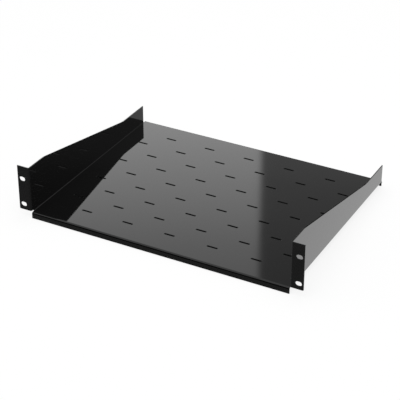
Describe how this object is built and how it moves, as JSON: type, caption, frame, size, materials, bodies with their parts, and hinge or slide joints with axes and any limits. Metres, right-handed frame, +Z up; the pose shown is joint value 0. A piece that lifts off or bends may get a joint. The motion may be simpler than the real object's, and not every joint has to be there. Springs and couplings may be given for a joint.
{
  "type": "rack shelf",
  "caption": "Vented cantilever shelf for a 19-inch rack: one folded black steel tray with tapering side walls, short front and rear lips and slotted mounting ears.",
  "frame": {"origin": "centre of the rectangle of four ear holes, on the rear face of the ears, which meets the rack's front rails", "axes": "+X across the rack, +Y into the rack from front to rear, +Z up"},
  "size_m": [0.4826, 0.35, 0.0882],
  "materials": {
    "gloss_black_paint": "high-gloss black paint on steel sheet, close to a mirror at low angles"
  },
  "bodies": {
    "root": {"shelf": "gloss_black_paint"}
  },
  "joints": []
}
